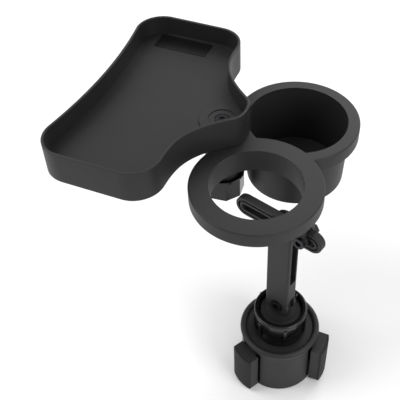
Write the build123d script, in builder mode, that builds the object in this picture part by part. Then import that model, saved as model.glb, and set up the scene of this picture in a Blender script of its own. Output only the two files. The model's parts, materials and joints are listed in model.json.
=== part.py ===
from build123d import *
import os
from math import cos, radians, sin

# Cup holder expander for a car: an expanding base that grips inside a cup well, a swivelling and
# tilting arm, a slotted link bar, a twin cup holder and a swivelling snack tray.
# +X runs along the slotted bar, +Y along the two pivot bolts, +Z up. The origin is the centre of
# the base's flat bottom. Millimetres.

# Clearances
run_gap = 0.06          # radial clearance of a turning fit
slide_gap = 0.4         # gap beside a sliding or swinging face
bolt_gap = 0.1          # radial gap round a bolt that only passes through

# Base
body_r = 34.5
body_wall = 3.0
cover_t = 3.0
deck_t = 2.2
rim_r = 36.3
rim_top = 58.4
rim_round = 3.0
column_r = 5.0
column_top = 79.0
guide_r = 21.4
jaw_count = 3
jaw_turn = 15.6         # direction of the first jaw, degrees from +X
jaw_w = 23.0
jaw_top = 48.0
jaw_depth = 12.0
jaw_wall = 3.0
pad_t = 2.0
jaw_out = 12.2          # how far the jaws stand out at rest
jaw_more = 3.0          # travel left beyond rest
cam_rate = 6.0          # jaw travel per radian of knob turn
cam_r = 30.6
cam_t = 3.6
cam_end_in = 0.32        # groove left past the pin at each end, radians
cam_end_out = 0.13
pin_r = 2.2
pin_at = 22.5           # distance of the drive pin from the axis at rest
tongue_w = 10.0
tongue_t = 4.6

# Adjuster knob
knob_r = 23.8
knob_low = 58.8
knob_top = 84.3
knob_hub_r = 9.0
knob_dish_r = 19.6
knob_dish = 78.0
knob_ribs = 6

# Swivel lug and arm
turn_r = 18.8
turn_top = 81.0
lug_t = 7.0
low_pivot = 93.2
turn_step = 0.7
ear_r = 11.0
arm_left = 12.5
arm_right = 10.5
arm_wall = 3.0
high_pivot = 192.3
channel_low = 126.0
bolt_r = 3.0
head_r = 5.2
head_t = 2.4

# Slotted bar
bar_t = 7.0
bar_h = 19.0
bar_left = -47.3
bar_right = 36.0
bar_rim = 2.6
bar_recess = 1.4
slot_h = 6.6

# Twin holder
plate_top = 228.8
plate_t = 3.0
skirt_low = 216.4
skirt_wall = 2.6
ring_x, ring_y = -25.1, -5.6
ring_in = 37.4
ring_out = 53.2
sleeve_low = 207.5
sleeve_wall = 2.2
cup_x, cup_y = -44.2, 77.9
cup_in = 42.9
cup_out = 52.9
bucket_wall = 2.4
bucket_low = 169.0
bucket_foot_in = 40.6
floor_t = 3.0
mat_t = 1.6
bracket_x = 18.6
bracket_ear_t = 3.4
bracket_ear_r = 6.0
bracket_neck = 7.6
bracket_wing = 7.0

# Tray
tray_x, tray_y = -85.6, 27.6
tray_turn = 16.4        # direction of the tray's short axis, degrees from +X
tray_low = 229.3
tray_floor = 240.1
tray_floor_t = 2.2
tray_rim = 257.5
tray_wall = 2.4
tray_half = 102.0
tray_left = -121.0
tray_waist = -108.5
tray_side = -16.0
tray_lobe = 22.7
tray_corner = 24.0
post_r = 15.2
post_low = 184.6
tray_screw_r = 3.0
clamp_r = 18.3
clamp_low = 160.5
clamp_sides = 8
clamp_flange = 2.4
disc_t = 1.4
disc_r = 19.2
disc_step_r = 11.7
disc_hole_r = 6.5

chan_half = bar_t / 2 + slide_gap           # half width of the arm's channel
arm_half = chan_half + arm_wall             # half depth of the arm
closed_tip = body_r                         # outer radius of a closed jaw
web_top = high_pivot - bar_h / 2 - 11.8     # the bar swings over the arm's web
tongue_low = jaw_top - tongue_t
cam_low = jaw_top + slide_gap + 0.8
deck_low = cam_low + cam_t + 0.6


def disc(low, high, radius, at=(0, 0), mode=Mode.ADD):
    """An upright cylinder from low to high."""
    with BuildSketch(Plane.XY.offset(low), mode=Mode.PRIVATE) as end:
        with Locations(at):
            Circle(radius)
    extrude(end.sketch, amount=high - low, mode=mode)


def disc_y(low, high, radius, x, z, mode=Mode.ADD):
    """A cylinder along Y from low to high."""
    with BuildSketch(Plane((x, low, z), x_dir=(1, 0, 0), z_dir=(0, 1, 0)), mode=Mode.PRIVATE) as end:
        Circle(radius)
    extrude(end.sketch, amount=high - low, mode=mode)


def block(x, y, z, mode=Mode.ADD):
    """A box between the given (low, high) pairs."""
    with Locations(((x[0] + x[1]) / 2, (y[0] + y[1]) / 2, (z[0] + z[1]) / 2)):
        Box(x[1] - x[0], y[1] - y[0], z[1] - z[0], mode=mode)


def hex_y(low, high, flat, x, z, mode=Mode.ADD):
    """A hexagonal prism along Y, flat across its flats."""
    with BuildSketch(Plane((x, low, z), x_dir=(1, 0, 0), z_dir=(0, 1, 0)), mode=Mode.PRIVATE) as end:
        RegularPolygon(flat / 2, 6, major_radius=False)
    extrude(end.sketch, amount=high - low, mode=mode)


def save(piece, name, place=Location()):
    """Label a finished piece, put it in its place and write it."""
    solid = piece.part.moved(place)
    solid.label = name
    export_step(solid, f"parts/{name}.step")


os.makedirs("parts", exist_ok=True)
jaw_angles = [jaw_turn + 360 / jaw_count * i for i in range(jaw_count)]

# ---------------------------------------------------------------- base
with BuildPart() as base_body:
    disc(cover_t, deck_low + deck_t, body_r)
    disc(cover_t, deck_low, body_r - body_wall, mode=Mode.SUBTRACT)
    # Flared rim with a rounded lip round a shallow valley
    with BuildSketch(Plane.XZ):
        with BuildLine():
            lip = rim_top - rim_round
            Polyline((body_r - 4, deck_low + 1), (body_r, deck_low - 3.5), (rim_r, lip))
            ThreePointArc((rim_r, lip), (rim_r - rim_round, rim_top), (rim_r - 2 * rim_round, lip))
            Line((rim_r - 2 * rim_round, lip), (body_r - 7, deck_low + 1))
            Line((body_r - 7, deck_low + 1), (body_r - 4, deck_low + 1))
        make_face()
    revolve(axis=Axis.Z)
    disc(deck_low - 1, deck_low + deck_t + 1, knob_hub_r + run_gap, mode=Mode.SUBTRACT)
    with PolarLocations(0, jaw_count, start_angle=jaw_turn):
        with Locations((body_r - 6, 0, (cover_t + jaw_top + slide_gap) / 2)):
            Box(20, jaw_w + 2 * slide_gap, jaw_top + slide_gap - cover_t, mode=Mode.SUBTRACT)
save(base_body, "base_body")

with BuildPart() as base_bottom_cover:
    disc(0, cover_t, body_r)
    chamfer(base_bottom_cover.edges().group_by(Axis.Z)[0], 0.8)
    with PolarLocations(column_r + 3, jaw_count, start_angle=jaw_turn):
        with Locations((0, 0, 0)):
            CounterSinkHole(1.6, 3.0, depth=cover_t)
save(base_bottom_cover, "base_bottom_cover")

with BuildPart() as jaw_guide:
    disc(cover_t, tongue_low - 4, 13.0)
    disc(tongue_low - 4, jaw_top, guide_r)
    with PolarLocations(0, jaw_count, start_angle=jaw_turn):
        with Locations((guide_r / 2 + 5, 0, tongue_low - slide_gap + 5)):
            Box(guide_r + 10, tongue_w + 2 * slide_gap, 10, mode=Mode.SUBTRACT)
    disc(cover_t, jaw_top, column_r + 0.02, mode=Mode.SUBTRACT)
    with PolarLocations(column_r + 3, jaw_count, start_angle=jaw_turn):
        with Locations((0, 0, cover_t + 4)):
            Cylinder(1.25, 8, mode=Mode.SUBTRACT)
save(jaw_guide, "jaw_guide")

with BuildPart() as cover_screws:
    with PolarLocations(column_r + 3, jaw_count, start_angle=jaw_turn):
        with Locations((0, 0, 5)):
            Cylinder(1.2, 8)
save(cover_screws, "cover_screws")

with BuildPart() as centre_column:
    disc(cover_t, column_top, column_r)
    disc(column_top - 14, column_top, 2.6, mode=Mode.SUBTRACT)
save(centre_column, "centre_column")

for number, angle in enumerate(jaw_angles, 1):
    # each jaw is made closed on +X, then turned to its direction and moved out
    place = Location((0, 0, 0), (0, 0, angle)) * Location((jaw_out, 0, 0))
    low = cover_t + slide_gap
    with BuildPart() as jaw:
        with BuildSketch(Plane.XY.offset(low)):
            Circle(closed_tip - pad_t)
            with Locations((closed_tip - jaw_depth + 20, 0)):
                Rectangle(40, jaw_w, mode=Mode.INTERSECT)
        extrude(amount=jaw_top - low)
        with Locations((closed_tip - jaw_wall - pad_t - 10, 0, (low + jaw_top) / 2)):
            Box(20, jaw_w - 2 * jaw_wall, jaw_top - low - 2 * jaw_wall, mode=Mode.SUBTRACT)
        tip = closed_tip - pad_t - 1.5
        block((pin_at - jaw_out - 3.2, tip), (-tongue_w / 2, tongue_w / 2), (tongue_low, jaw_top))
        disc(jaw_top - 1, cam_low + cam_t - 0.4, pin_r, at=(pin_at - jaw_out, 0))
    save(jaw, f"jaw_{number}", place)
    with BuildPart() as jaw_pad:
        with BuildSketch(Plane.XY.offset(low)):
            Circle(closed_tip)
            Circle(closed_tip - pad_t, mode=Mode.SUBTRACT)
            with Locations((closed_tip - jaw_depth + 20, 0)):
                Rectangle(40, jaw_w, mode=Mode.INTERSECT)
        extrude(amount=jaw_top - low)
        fillet(jaw_pad.edges().filter_by(GeomType.CIRCLE).group_by(SortBy.RADIUS)[-1], 0.9)
    save(jaw_pad, f"jaw_pad_{number}", place)

with BuildPart() as cam_disc:
    disc(cam_low, cam_low + cam_t, cam_r)
    disc(cam_low, cam_low + cam_t, column_r + run_gap, mode=Mode.SUBTRACT)
    half = pin_r + slide_gap
    turn_in = jaw_out / cam_rate
    turn_out = jaw_more / cam_rate
    steps = 12
    for angle in jaw_angles:
        # A pin at the jaw's direction meets the groove point that the disc has turned there
        sides = [[], []]
        for i in range(steps + 1):
            turn = -turn_out - cam_end_out + (turn_in + turn_out + cam_end_in + cam_end_out) * i / steps
            middle = pin_at - cam_rate * turn
            at = radians(angle) + turn
            for side, edge in zip(sides, (half, -half)):
                side.append(((middle + edge) * cos(at), (middle + edge) * sin(at)))
        with BuildSketch(Plane.XY.offset(cam_low)):
            with BuildLine():
                outer = Spline(*sides[0])
                inner = Spline(*sides[1])
                Line(outer @ 0, inner @ 0)
                Line(outer @ 1, inner @ 1)
            make_face()
        extrude(amount=cam_t, mode=Mode.SUBTRACT)
save(cam_disc, "cam_disc")

# ---------------------------------------------------------------- knob
with BuildPart() as adjuster_knob:
    disc(knob_low, knob_top, knob_r - 1.2)
    disc(knob_top - 5.5, knob_top, knob_r)
    fillet(adjuster_knob.edges().group_by(Axis.Z)[-1], 1.6)
    disc(knob_low - 2.6, knob_low + 4, knob_r)
    disc(cam_low + cam_t, knob_low, knob_hub_r)
    with PolarLocations(knob_r - 1.0, knob_ribs, start_angle=jaw_turn):
        with Locations((0, 0, (knob_low + knob_top - 5) / 2)):
            Box(3.2, 3.0, knob_top - 5 - knob_low)
    disc(knob_dish, knob_top, knob_dish_r, mode=Mode.SUBTRACT)
    disc(cam_low, knob_top, column_r + run_gap, mode=Mode.SUBTRACT)
save(adjuster_knob, "adjuster_knob")

# ---------------------------------------------------------------- swivel lug
with BuildPart() as swivel_lug:
    disc(column_top, turn_top, turn_r)
    chamfer(swivel_lug.edges().group_by(Axis.Z)[-1], 0.8)
    disc(turn_top, turn_top + turn_step, turn_r - 5)
    block((-8, 8), (-lug_t / 2, lug_t / 2), (turn_top, low_pivot))
    disc_y(-lug_t / 2, lug_t / 2, 8.0, 0, low_pivot)
    disc_y(-lug_t / 2, lug_t / 2, bolt_r + run_gap, 0, low_pivot, mode=Mode.SUBTRACT)
save(swivel_lug, "swivel_lug")

with BuildPart() as swivel_pin:
    disc(column_top - 12, column_top, 2.5)
save(swivel_pin, "swivel_pin")

# ---------------------------------------------------------------- arm
with BuildPart() as arm:
    with BuildSketch(Plane((0, -arm_half, 0), x_dir=(1, 0, 0), z_dir=(0, -1, 0))):
        with Locations((0, low_pivot)):
            Circle(ear_r)
        with Locations(((arm_right - arm_left) / 2, (low_pivot + high_pivot) / 2)):
            Rectangle(arm_left + arm_right, high_pivot - low_pivot)
        with Locations(((arm_right - arm_left) / 2, high_pivot)):
            Circle((arm_left + arm_right) / 2)
    extrude(amount=-2 * arm_half)
    fillet(arm.edges().filter_by(Axis.Z).sort_by(Axis.X)[:2], 2.0)
    # channel that the bar folds towards, open at the right and over the web
    block((-arm_left + 2.5, 30), (-chan_half, chan_half), (channel_low, high_pivot + 30), Mode.SUBTRACT)
    block((-30, 30), (-chan_half, chan_half), (web_top, high_pivot + 30), Mode.SUBTRACT)
    # fork over the lug
    fork = lug_t / 2 + slide_gap
    block((-30, 30), (-fork, fork), (low_pivot - 20, low_pivot + 10), Mode.SUBTRACT)
    disc_y(-20, 20, bolt_r + 0.02, 0, low_pivot, Mode.SUBTRACT)
    disc_y(-20, 20, bolt_r + run_gap, 0, high_pivot, Mode.SUBTRACT)
    disc_y(-arm_half - 1, -arm_half + 1.0, head_r + 0.8, 0, low_pivot, Mode.SUBTRACT)
save(arm, "arm")


def pivot_bolt(z, front, back, name, x=0.0):
    """A socket head bolt along Y with its head in front."""
    with BuildPart() as bolt:
        disc_y(front - head_t, front, head_r, x, z)
        disc_y(front, back, bolt_r, x, z)
        hex_y(front - head_t, front - head_t + 1.6, 5.0, x, z, Mode.SUBTRACT)
    save(bolt, name)


nut_t = 5.0
wing_r = 9.0
pivot_bolt(low_pivot, -arm_half + 1.0, arm_half + nut_t + 1.2, "arm_bolt")

with BuildPart() as arm_wing_nut:
    disc_y(arm_half + 0.8, arm_half + 0.8 + nut_t, 6.2, 0, low_pivot)
    for side in (-1, 1):
        block(
            (min(side * 4, side * wing_r), max(side * 4, side * wing_r)),
            (arm_half + 2.2, arm_half + 5.0),
            (low_pivot - 4.0, low_pivot + 5.0),
        )
    fillet(arm_wing_nut.edges().filter_by(Axis.Y).sort_by_distance((wing_r, arm_half, low_pivot))[:2], 2.0)
    fillet(arm_wing_nut.edges().filter_by(Axis.Y).sort_by_distance((-wing_r, arm_half, low_pivot))[:2], 2.0)
    disc_y(0, 40, bolt_r + run_gap, 0, low_pivot, Mode.SUBTRACT)
save(arm_wing_nut, "arm_wing_nut")

with BuildPart() as arm_washer:
    disc_y(arm_half, arm_half + 0.8, 6.0, 0, low_pivot)
    disc_y(0, 40, bolt_r + run_gap, 0, low_pivot, Mode.SUBTRACT)
save(arm_washer, "arm_washer")

# ---------------------------------------------------------------- slotted bar
bar_mid = (bar_left + bar_right) / 2
bar_len = bar_right - bar_left
with BuildPart() as slotted_bar:
    upright = Plane((bar_mid, -bar_t / 2, high_pivot), x_dir=(1, 0, 0), z_dir=(0, 1, 0))
    with BuildSketch(upright):
        SlotOverall(bar_len, bar_h)
    extrude(amount=bar_t)
    fillet(slotted_bar.edges().filter_by(Plane.XZ), 0.8)
    for start in (-bar_t / 2 - 0.01, bar_t / 2 - bar_recess):
        with BuildSketch(Plane((bar_mid, start, high_pivot), x_dir=(1, 0, 0), z_dir=(0, 1, 0))):
            SlotOverall(bar_len - 2 * bar_rim, bar_h - 2 * bar_rim)
            SlotOverall(bar_len - bar_h + slot_h + 4, slot_h + 4, mode=Mode.SUBTRACT)
        extrude(amount=bar_recess + 0.01, mode=Mode.SUBTRACT)
    with BuildSketch(upright):
        SlotOverall(bar_len - bar_h + slot_h, slot_h)
    extrude(amount=bar_t, mode=Mode.SUBTRACT)
save(slotted_bar, "slotted_bar")

pivot_bolt(high_pivot, -arm_half, arm_half + nut_t + 1.2, "bar_bolt")

with BuildPart() as bar_nut:
    hex_y(arm_half, arm_half + nut_t, 10.0, 0, high_pivot)
    disc_y(0, 40, bolt_r + 0.02, 0, high_pivot, Mode.SUBTRACT)
save(bar_nut, "bar_nut")

# ---------------------------------------------------------------- twin holder
plate_low = plate_top - plate_t


def holder_outline(inset=0.0):
    """Ring circle, cup circle and the lobe that reaches the tray post, as one sketch."""
    with Locations((ring_x, ring_y)):
        Circle(ring_out - inset)
    with Locations((cup_x, cup_y)):
        Circle(cup_out - inset)
    with Locations((tray_x, tray_y)):
        Circle(post_r + 4.4 - inset)
    Polygon((ring_x, ring_y), (cup_x, cup_y), (tray_x, tray_y), align=None)


with BuildPart() as holder_plate:
    with BuildSketch(Plane.XY.offset(skirt_low)):
        holder_outline()
    extrude(amount=plate_top - skirt_low)
    fillet(holder_plate.edges().group_by(Axis.Z)[-1], 1.2)
    with BuildSketch(Plane.XY.offset(skirt_low)):
        holder_outline(skirt_wall)
    extrude(amount=plate_low - skirt_low, mode=Mode.SUBTRACT)
    # sleeve under the ring, and the post that carries the tray
    disc(sleeve_low, plate_low, ring_in + sleeve_wall, at=(ring_x, ring_y))
    disc(post_low, plate_low, post_r, at=(tray_x, tray_y))
    disc(plate_top, tray_floor - tray_floor_t - 0.1, post_r, at=(tray_x, tray_y))
    # cup opening, which the whole ring overlaps
    with BuildSketch(Plane.XY.offset(skirt_low)):
        with Locations((cup_x, cup_y)):
            Circle(cup_in)
        with Locations((ring_x, ring_y)):
            Circle(ring_out, mode=Mode.SUBTRACT)
    extrude(amount=plate_top - skirt_low, mode=Mode.SUBTRACT)
    disc(skirt_low - 1, plate_low, cup_in + bucket_wall + 0.1, at=(cup_x, cup_y), mode=Mode.SUBTRACT)
    disc(sleeve_low, plate_top, ring_in, at=(ring_x, ring_y), mode=Mode.SUBTRACT)
    disc(post_low, tray_floor, tray_screw_r + run_gap, at=(tray_x, tray_y), mode=Mode.SUBTRACT)
save(holder_plate, "holder_plate")

with BuildPart() as cup_bucket:
    with BuildSketch(Plane((cup_x, cup_y, 0), x_dir=(1, 0, 0), z_dir=(0, -1, 0))):
        with BuildLine():
            Polyline(
                (0, bucket_low),
                (bucket_foot_in + bucket_wall, bucket_low),
                (cup_in + bucket_wall, plate_low),
                (cup_in, plate_low),
                (bucket_foot_in, bucket_low + floor_t),
                (0, bucket_low + floor_t),
                close=True,
            )
        make_face()
    revolve(axis=Axis((cup_x, cup_y, 0), (0, 0, 1)))
    fillet(cup_bucket.edges().group_by(Axis.Z)[0], 2.0)
save(cup_bucket, "cup_bucket")

with BuildPart() as cup_mat:
    disc(bucket_low + floor_t, bucket_low + floor_t + mat_t, bucket_foot_in - 0.6, at=(cup_x, cup_y))
    fillet(cup_mat.edges().group_by(Axis.Z)[-1], 0.6)
save(cup_mat, "cup_mat")

ear_in = bar_t / 2 + slide_gap
ear_out = ear_in + bracket_ear_t
screw_y = ear_out + bracket_wing / 2
pad_low = plate_low - 3.0
with BuildPart() as holder_bracket:
    # two necks and a pad that fit between the ring's sleeve and its skirt
    for start, widths in ((high_pivot, bracket_ear_t), (pad_low, bracket_ear_t + bracket_wing)):
        with BuildSketch(Plane.XY.offset(start)):
            for side in (-1, 1):
                with Locations((bracket_x, side * (ear_in + widths / 2))):
                    Rectangle(bracket_neck, widths)
            if start == pad_low:
                with Locations((bracket_x, 0)):
                    Rectangle(bracket_neck, 2 * ear_out)
            with Locations((ring_x, ring_y)):
                Circle(ring_out - skirt_wall - bolt_gap, mode=Mode.INTERSECT)
        extrude(amount=plate_low - start)
    for side in (-1, 1):
        low_y, high_y = sorted((side * ear_in, side * ear_out))
        disc_y(low_y, high_y, bracket_ear_r, bracket_x, high_pivot)
    disc(high_pivot - 9, plate_top, ring_in + sleeve_wall + bolt_gap, at=(ring_x, ring_y),
         mode=Mode.SUBTRACT)
    disc_y(-20, 20, bolt_r + run_gap, bracket_x, high_pivot, Mode.SUBTRACT)
    for side in (-1, 1):
        disc(pad_low, plate_low, 1.5, at=(bracket_x, side * screw_y), mode=Mode.SUBTRACT)
save(holder_bracket, "holder_bracket")

with BuildPart() as bracket_screws:
    for side in (-1, 1):
        disc(pad_low, plate_low, 1.4, at=(bracket_x, side * screw_y))
        disc(pad_low - 2, pad_low, 2.6, at=(bracket_x, side * screw_y))
save(bracket_screws, "bracket_screws")

pivot_bolt(high_pivot, -ear_out, ear_out + nut_t + 1.2, "bracket_bolt", x=bracket_x)

with BuildPart() as bracket_nut:
    hex_y(ear_out, ear_out + nut_t, 10.0, bracket_x, high_pivot)
    disc_y(0, 40, bolt_r + 0.02, bracket_x, high_pivot, Mode.SUBTRACT)
save(bracket_nut, "bracket_nut")

# ---------------------------------------------------------------- tray
tray_plane = Plane.XY.rotated((0, 0, tray_turn))
tray_at = Plane((tray_x, tray_y, 0), x_dir=tray_plane.x_dir, z_dir=(0, 0, 1))


def tray_outline(height, inset=0.0):
    """Hourglass outline round the pivot, square ends and a round lobe over the post."""
    end = tray_half - inset
    side = tray_side - inset
    lobe = tray_lobe - inset
    with BuildSketch(tray_at.offset(height), mode=Mode.PRIVATE) as outline:
        with BuildLine():
            shank = end + inset - tray_corner - 6
            left = ThreePointArc(
                (tray_waist + inset, 0),
                (0.75 * tray_waist + 0.25 * tray_left + inset, tray_half / 2),
                (tray_left + inset, end),
            )
            Line(left @ 1, (side, end))
            Line((side, end), (side, shank))
            flank = Spline(
                (side, shank),
                (tray_side + 0.25 * tray_lobe - inset, 0.62 * shank),
                (0.62 * lobe, 0.76 * lobe),
                (lobe, 0),
                tangents=[(0, -1), (0, -1)],
            )
            Line(flank @ 1, left @ 0)
        make_face()
        corners = outline.vertices().group_by(Axis.Y)[-1]
        fillet(corners, tray_corner - inset)
        mirror(about=Plane.XZ)
    return outline.sketch


with BuildPart() as tray:
    extrude(tray_outline(tray_low), amount=tray_rim - tray_low)
    under = tray_outline(tray_low, tray_wall)
    extrude(under, amount=tray_floor - tray_floor_t - tray_low, mode=Mode.SUBTRACT)
    extrude(tray_outline(tray_floor, tray_wall), amount=tray_rim - tray_floor, mode=Mode.SUBTRACT)
    fillet(tray.edges().group_by(Axis.Z)[-1], 0.8)
    disc(tray_low, tray_floor + 1, tray_screw_r + 0.02, at=(tray_x, tray_y), mode=Mode.SUBTRACT)
save(tray, "tray")

with BuildPart() as tray_disc:
    disc(tray_floor, tray_floor + disc_t, disc_r, at=(tray_x, tray_y))
    fillet(tray_disc.edges().group_by(Axis.Z)[-1], 0.5)
    disc(tray_floor + disc_t - 0.6, tray_floor + disc_t, disc_step_r, at=(tray_x, tray_y),
         mode=Mode.SUBTRACT)
    disc(tray_floor, tray_floor + disc_t, disc_hole_r, at=(tray_x, tray_y), mode=Mode.SUBTRACT)
save(tray_disc, "tray_disc")

with BuildPart() as tray_screw:
    disc(tray_floor, tray_floor + 1.2, disc_hole_r - 0.9, at=(tray_x, tray_y))
    fillet(tray_screw.edges().group_by(Axis.Z)[-1], 0.4)
    disc(clamp_low + 4, tray_floor, tray_screw_r, at=(tray_x, tray_y))
    with BuildSketch(Plane.XY.offset(tray_floor + 1.2)):
        with Locations((tray_x, tray_y)):
            RegularPolygon(2.5, 6)
    extrude(amount=-1.0, mode=Mode.SUBTRACT)
save(tray_screw, "tray_screw")

clamp_top = post_low - slide_gap
with BuildPart() as tray_clamp_knob:
    with BuildSketch(Plane.XY.offset(clamp_low)):
        with Locations((tray_x, tray_y)):
            RegularPolygon(clamp_r, clamp_sides)
    extrude(amount=clamp_top - clamp_flange - clamp_low)
    chamfer(tray_clamp_knob.edges().group_by(Axis.Z)[0], 1.5)
    disc(clamp_top - clamp_flange, clamp_top, clamp_r, at=(tray_x, tray_y))
    disc(clamp_low, clamp_low + 3, 9.0, at=(tray_x, tray_y), mode=Mode.SUBTRACT)
    disc(clamp_low, clamp_top, tray_screw_r + run_gap, at=(tray_x, tray_y), mode=Mode.SUBTRACT)
save(tray_clamp_knob, "tray_clamp_knob")
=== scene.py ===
import json
from math import cos, pi, radians, sin

import bmesh
import bpy
from bpy.props import FloatProperty, PointerProperty, StringProperty
from mathutils import Matrix, Vector


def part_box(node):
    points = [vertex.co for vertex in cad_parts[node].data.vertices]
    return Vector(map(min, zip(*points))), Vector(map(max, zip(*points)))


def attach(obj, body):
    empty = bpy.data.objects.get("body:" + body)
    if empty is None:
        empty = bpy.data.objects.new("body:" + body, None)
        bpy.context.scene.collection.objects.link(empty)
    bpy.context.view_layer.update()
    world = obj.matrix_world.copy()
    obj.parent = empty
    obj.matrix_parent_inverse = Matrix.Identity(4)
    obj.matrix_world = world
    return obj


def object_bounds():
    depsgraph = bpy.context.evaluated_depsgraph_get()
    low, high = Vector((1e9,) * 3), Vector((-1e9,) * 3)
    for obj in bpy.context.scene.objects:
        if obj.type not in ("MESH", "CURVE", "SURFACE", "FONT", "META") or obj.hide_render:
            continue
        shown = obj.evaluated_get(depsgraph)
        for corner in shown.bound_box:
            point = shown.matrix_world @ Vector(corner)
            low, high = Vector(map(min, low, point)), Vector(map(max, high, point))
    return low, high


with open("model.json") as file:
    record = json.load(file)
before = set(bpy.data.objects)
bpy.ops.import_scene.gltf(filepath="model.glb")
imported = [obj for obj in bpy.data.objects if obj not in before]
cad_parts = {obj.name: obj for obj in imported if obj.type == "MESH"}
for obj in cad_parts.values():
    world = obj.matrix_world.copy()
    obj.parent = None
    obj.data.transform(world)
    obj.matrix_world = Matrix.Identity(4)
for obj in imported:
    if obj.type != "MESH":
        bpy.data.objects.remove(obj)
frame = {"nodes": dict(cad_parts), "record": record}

bl_info = {
    "name": "Cup Holder Expander",
    "version": (1, 0, 0),
    "blender": (4, 5, 0),
    "location": "View3D > Sidebar > Cup Holder",
    "description": "Finishes and trim for an expanding cup holder with a swivel tray",
    "category": "Object",
}

MM = 0.001
cad_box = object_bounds()
disc_low, disc_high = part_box("tray_disc")

# How much lighter or darker a moulded surface drifts, and how much paler the painted edge highlight makes
# the sharp edges
TONE_SPREAD = 0.1
EDGE_HIGHLIGHT_PALER = 2.2
DRIFT_SIZE = 40 * MM

# The tray stands at this angle about its post, and its floor is the disc's underside
TRAY_TURN = radians(16.4)
# The panel's centre on the floor, across and along the tray from its post
PANEL_PLACE = Vector((-74 * MM, 85.5 * MM, 0))
FLOOR_HALF = 3.0

# The camera's place, its angles in degrees and its lens
CAMERA_PLACE = (0.2099, -0.3252, 0.6248)
CAMERA_ELEVATION = 44.27
CAMERA_AZIMUTH = 37.6
CAMERA_LENS = 65.52
CAMERA_SHIFT = (-0.1125, -0.0625)
LAMP_TARGET = (-0.05, 0.0, 0.18)
TRAY_PIVOT = Vector(((disc_low.x + disc_high.x) / 2, (disc_low.y + disc_high.y) / 2, disc_low.z))


def linear(code):
    """An sRGB hex colour as linear RGBA."""
    parts = [int(code[i:i + 2], 16) / 255 for i in (1, 3, 5)]
    return [c / 12.92 if c <= 0.04045 else ((c + 0.055) / 1.055) ** 2.4 for c in parts] + [1.0]


class HolderSizes(bpy.types.PropertyGroup):
    """Sizes of the trim that has no solid of its own."""

    panel_length: FloatProperty(
        name="Panel length", description="Long side of the panel on the tray floor",
        default=51 * MM, unit="LENGTH",
    )
    panel_width: FloatProperty(
        name="Panel width", description="Short side of the panel on the tray floor",
        default=20 * MM, unit="LENGTH",
    )
    panel_thickness: FloatProperty(
        name="Panel thickness", description="How far the panel stands above the floor",
        default=0.3 * MM, unit="LENGTH",
    )


class HolderColours(bpy.types.PropertyGroup):
    """Base colours, as sRGB hex values."""

    plastic: StringProperty(name="Plastic", description="Moulded ABS", default="#1b1b1c")
    gloss: StringProperty(name="Knob plastic", description="Smoother ABS of the knobs", default="#0a0a0b")
    rubber: StringProperty(name="Rubber", description="Jaw pads and cup mat", default="#181818")
    steel: StringProperty(name="Steel", description="Black oxide screws", default="#2c2c2e")
    panel: StringProperty(name="Panel", description="Bare panel on the tray", default="#080808")


def add(tree, kind, links=None, values=None, **settings):
    """Add a node, set its settings and input values, and link its inputs."""
    node = tree.nodes.new(kind)
    for name, value in settings.items():
        setattr(node, name, value)
    for name, value in (values or {}).items():
        node.inputs[name].default_value = value
    for name, source in (links or {}).items():
        tree.links.new(source, node.inputs[name])
    return node


def new_material(name):
    material = bpy.data.materials.new(name)
    material.use_nodes = True
    material.node_tree.nodes.clear()
    return material, material.node_tree


def grained(name, colour, roughness, grain_mm, grain_depth, specular, metallic=0.0):
    """A dark surface with a fine grain, slow tone drift and a painted highlight along its sharp edges."""
    material, tree = new_material(name)
    place = add(tree, "ShaderNodeTexCoord").outputs["Object"]
    grain = add(tree, "ShaderNodeTexNoise", {"Vector": place},
                {"Scale": 1 / (grain_mm * MM), "Detail": 3.0, "Roughness": 0.6})
    drift = add(tree, "ShaderNodeTexNoise", {"Vector": place},
                {"Scale": 1 / DRIFT_SIZE, "Detail": 2.0})
    base = linear(colour)
    pale = [c * (1 + 2 * TONE_SPREAD) for c in base[:3]] + [1.0]
    dark = [c * (1 - TONE_SPREAD) for c in base[:3]] + [1.0]
    tone = add(tree, "ShaderNodeMix", {"Factor": drift.outputs["Fac"]}, data_type="RGBA")
    tone.inputs["A"].default_value = dark
    tone.inputs["B"].default_value = pale
    # Painted highlight: the sharp raised edges are painted paler, standing in for the light that catches
    # them
    edge_sharpness = add(tree, "ShaderNodeNewGeometry").outputs["Pointiness"]
    edge = add(tree, "ShaderNodeMapRange", {"Value": edge_sharpness},
               {"From Min": 0.52, "From Max": 0.62, "To Min": 0.0, "To Max": 0.35})
    toned_and_highlit = add(tree, "ShaderNodeMix", {"Factor": edge.outputs["Result"]}, data_type="RGBA")
    tree.links.new(tone.outputs["Result"], toned_and_highlit.inputs["A"])
    # The paler edge colour is a painted highlight, not a change in the plastic
    toned_and_highlit.inputs["B"].default_value = [c * EDGE_HIGHLIGHT_PALER for c in base[:3]] + [1.0]
    rough = add(tree, "ShaderNodeMapRange", {"Value": grain.outputs["Fac"]},
                {"From Min": 0.3, "From Max": 0.7, "To Min": roughness - 0.05, "To Max": roughness + 0.05})
    bump = add(tree, "ShaderNodeBump", {"Height": grain.outputs["Fac"]},
               {"Strength": grain_depth, "Distance": 0.05 * MM})
    shader = add(tree, "ShaderNodeBsdfPrincipled",
                 {"Base Color": toned_and_highlit.outputs["Result"], "Roughness": rough.outputs["Result"],
                  "Normal": bump.outputs["Normal"]},
                 {"Metallic": metallic})
    if not metallic:
        shader.inputs["IOR"].default_value = 1.5
        shader.inputs["Specular IOR Level"].default_value = specular
    add(tree, "ShaderNodeOutputMaterial", {"Surface": shader.outputs["BSDF"]})
    return material


def dress(material, names):
    """Give CAD nodes their finish."""
    for name in names:
        piece = frame["nodes"][name]
        piece.data.materials.clear()
        piece.data.materials.append(material)
        piece.data.polygons.foreach_set("material_index", [0] * len(piece.data.polygons))


def nodes_of(slot):
    return [part["node"] for part in frame["record"]["subparts"] if part["material_slot"] == slot]


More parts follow.
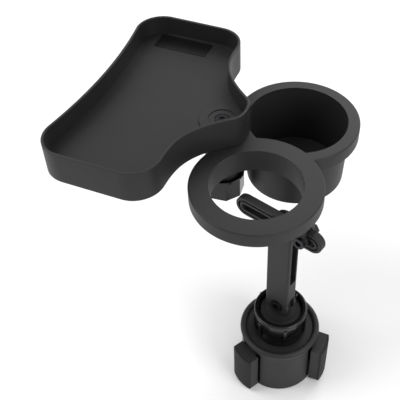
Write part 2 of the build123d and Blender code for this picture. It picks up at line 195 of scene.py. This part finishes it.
class HOLDER_OT_plastic(bpy.types.Operator):
    """Finish the moulded bodies in matt ABS."""

    bl_idname = "holder.plastic"
    bl_label = "Matt ABS pieces"

    def execute(self, context):
        # Injection-moulded ABS with a spark-eroded grain of about 0.5 mm, drawn at 0.8 mm so that it
        # shows: a dry, soft highlight with a faint sparkle
        colour = context.scene.holder_colours.plastic
        dress(grained("ABS_moulded_matt", colour, 0.5, 0.8, 0.35, 0.3), nodes_of("black_abs"))
        return {"FINISHED"}


class HOLDER_OT_knobs(bpy.types.Operator):
    """Finish the knobs and the wing nut in smoother ABS."""

    bl_idname = "holder.knobs"
    bl_label = "Knobs"

    def execute(self, context):
        # The same ABS from a polished tool: tighter highlights on the ribs and facets
        colour = context.scene.holder_colours.gloss
        dress(grained("ABS_moulded_satin", colour, 0.2, 1.6, 0.12, 0.35), nodes_of("gloss_abs"))
        return {"FINISHED"}


class HOLDER_OT_rubber(bpy.types.Operator):
    """Finish the jaw pads and the cup mat in rubber."""

    bl_idname = "holder.rubber"
    bl_label = "Rubber pieces"

    def execute(self, context):
        # Moulded TPE rubber: no clear highlight, dusty and even
        colour = context.scene.holder_colours.rubber
        dress(grained("TPE_rubber_moulded", colour, 0.72, 0.6, 0.5, 0.25), nodes_of("black_rubber"))
        return {"FINISHED"}


class HOLDER_OT_steel(bpy.types.Operator):
    """Finish the bolts, nuts and washers in black oxide steel."""

    bl_idname = "holder.steel"
    bl_label = "Steel fasteners"

    def execute(self, context):
        # Black oxide on turned steel: dark metal with a sharp thin glint
        colour = context.scene.holder_colours.steel
        dress(grained("Steel_black_oxide", colour, 0.38, 0.5, 0.15, 0.5, metallic=1.0),
              nodes_of("black_steel"))
        return {"FINISHED"}


class HOLDER_OT_panel(bpy.types.Operator):
    """Lay the bare panel on the tray floor."""

    bl_idname = "holder.panel"
    bl_label = "Tray panel"

    def execute(self, context):
        sizes = context.scene.holder_sizes
        # The panel lies square to the tray, near the far end of its floor
        turn = Matrix.Rotation(TRAY_TURN, 4, "Z")
        centre = TRAY_PIVOT + turn @ PANEL_PLACE
        lift = 0.05 * MM
        corner = 1.2 * MM
        steps = 5
        half = Vector((sizes.panel_length / 2 - corner, sizes.panel_width / 2 - corner))
        shape = bmesh.new()
        ring = []
        for quarter, (sx, sy) in enumerate(((1, 1), (-1, 1), (-1, -1), (1, -1))):
            for i in range(steps + 1):
                angle = pi / 2 * (quarter + i / steps)
                ring.append(shape.verts.new(
                    (sx * half.x + corner * cos(angle), sy * half.y + corner * sin(angle), lift)))
        foot = shape.faces.new(ring)
        top = bmesh.ops.extrude_face_region(shape, geom=[foot])
        raised = [item for item in top["geom"] if isinstance(item, bmesh.types.BMVert)]
        bmesh.ops.translate(shape, vec=(0, 0, sizes.panel_thickness), verts=raised)
        bmesh.ops.recalc_face_normals(shape, faces=shape.faces)
        mesh = bpy.data.meshes.new("tray_panel")
        shape.to_mesh(mesh)
        shape.free()
        panel = bpy.data.objects.new("tray_panel", mesh)
        context.scene.collection.objects.link(panel)
        panel.matrix_world = Matrix.Translation(centre) @ turn
        # Printed polyester film, blank: smoother and darker than the floor round it
        mesh.materials.append(
            grained("Polyester_film_blank", context.scene.holder_colours.panel, 0.32, 2.0, 0.05, 0.2))
        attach(panel, "tray")
        return {"FINISHED"}


def lamp(name, size, power, place, target):
    """A square soft lamp that points at the target."""
    data = bpy.data.lights.new(name, "AREA")
    data.shape = "SQUARE"
    data.size = size
    data.energy = power
    light = bpy.data.objects.new(name, data)
    bpy.context.scene.collection.objects.link(light)
    light.location = place
    light.rotation_euler = (Vector(target) - Vector(place)).to_track_quat("-Z", "Y").to_euler()
    return light


class HOLDER_OT_stage(bpy.types.Operator):
    """Make the floor, the lamps, the world and the camera."""

    bl_idname = "holder.stage"
    bl_label = "Stage"

    def execute(self, context):
        scene = context.scene
        mesh = bpy.data.meshes.new("floor")
        corners = [(x * FLOOR_HALF, y * FLOOR_HALF, 0) for x, y in ((-1, -1), (1, -1), (1, 1), (-1, 1))]
        mesh.from_pydata(corners, [], [(0, 1, 2, 3)])
        floor = bpy.data.objects.new("floor", mesh)
        floor.location.z = cad_box[0][2] - 0.3 * MM
        scene.collection.objects.link(floor)
        material, tree = new_material("Paper_backdrop")
        grain = add(tree, "ShaderNodeTexNoise", None, {"Scale": 60.0})
        paint = add(tree, "ShaderNodeMix", {"Factor": grain.outputs["Fac"]}, data_type="RGBA")
        paint.inputs["A"].default_value = linear("#f4f4f4")
        paint.inputs["B"].default_value = linear("#fafafa")
        matt = add(tree, "ShaderNodeBsdfDiffuse", {"Color": paint.outputs["Result"]})
        add(tree, "ShaderNodeOutputMaterial", {"Surface": matt.outputs["BSDF"]})
        mesh.materials.append(material)

        world = bpy.data.worlds.new("Studio")
        scene.world = world
        world.use_nodes = True
        tree = world.node_tree
        tree.nodes.clear()
        path = add(tree, "ShaderNodeLightPath")
        seen = path.outputs["Is Camera Ray"]
        for other in ("Is Glossy Ray", "Is Transmission Ray"):
            larger = add(tree, "ShaderNodeMath", None, operation="MAXIMUM")
            tree.links.new(seen, larger.inputs[0])
            tree.links.new(path.outputs[other], larger.inputs[1])
            seen = larger.outputs[0]
        fill = add(tree, "ShaderNodeBackground", None, {"Color": linear("#ffffff"), "Strength": 0.55})
        white = add(tree, "ShaderNodeBackground", None, {"Color": linear("#ffffff"), "Strength": 1.0})
        mix = add(tree, "ShaderNodeMixShader", {"Fac": seen})
        tree.links.new(fill.outputs[0], mix.inputs[1])
        tree.links.new(white.outputs[0], mix.inputs[2])
        add(tree, "ShaderNodeOutputWorld", {"Surface": mix.outputs[0]})

        lamp("key", 0.9, 13.0, (-0.9, -0.5, 1.3), LAMP_TARGET)
        lamp("side", 0.7, 8.0, (1.1, -0.1, 0.8), LAMP_TARGET)
        lamp("back", 0.8, 7.0, (-0.2, 1.2, 1.0), LAMP_TARGET)

        data = bpy.data.cameras.new("camera")
        data.sensor_width = 36.0
        data.lens = CAMERA_LENS
        data.shift_x, data.shift_y = CAMERA_SHIFT
        data.clip_start = 0.01
        camera = bpy.data.objects.new("camera", data)
        scene.collection.objects.link(camera)
        camera.location = CAMERA_PLACE
        camera.rotation_euler = (radians(90 - CAMERA_ELEVATION), 0, radians(CAMERA_AZIMUTH))
        scene.camera = camera
        scene.view_settings.view_transform = "Standard"
        return {"FINISHED"}


class HOLDER_PT_panel(bpy.types.Panel):
    """Sidebar panel with the sizes, the colours and one button for each step."""

    bl_label = "Cup Holder"
    bl_space_type = "VIEW_3D"
    bl_region_type = "UI"
    bl_category = "Cup Holder"

    def draw(self, context):
        for group in (context.scene.holder_sizes, context.scene.holder_colours):
            for name in group.__annotations__:
                self.layout.prop(group, name)
        for step in STEPS:
            self.layout.operator(step.bl_idname)


STEPS = (
    HOLDER_OT_stage,
    HOLDER_OT_plastic,
    HOLDER_OT_knobs,
    HOLDER_OT_rubber,
    HOLDER_OT_steel,
    HOLDER_OT_panel,
)
CLASSES = (HolderSizes, HolderColours, *STEPS, HOLDER_PT_panel)


def register():
    for item in CLASSES:
        bpy.utils.register_class(item)
    bpy.types.Scene.holder_sizes = PointerProperty(type=HolderSizes)
    bpy.types.Scene.holder_colours = PointerProperty(type=HolderColours)


def unregister():
    del bpy.types.Scene.holder_colours
    del bpy.types.Scene.holder_sizes
    for item in reversed(CLASSES):
        bpy.utils.unregister_class(item)


def main():
    register()
    for step in STEPS:
        group, name = step.bl_idname.split(".")
        getattr(getattr(bpy.ops, group), name)()


if __name__ == "__main__":
    main()
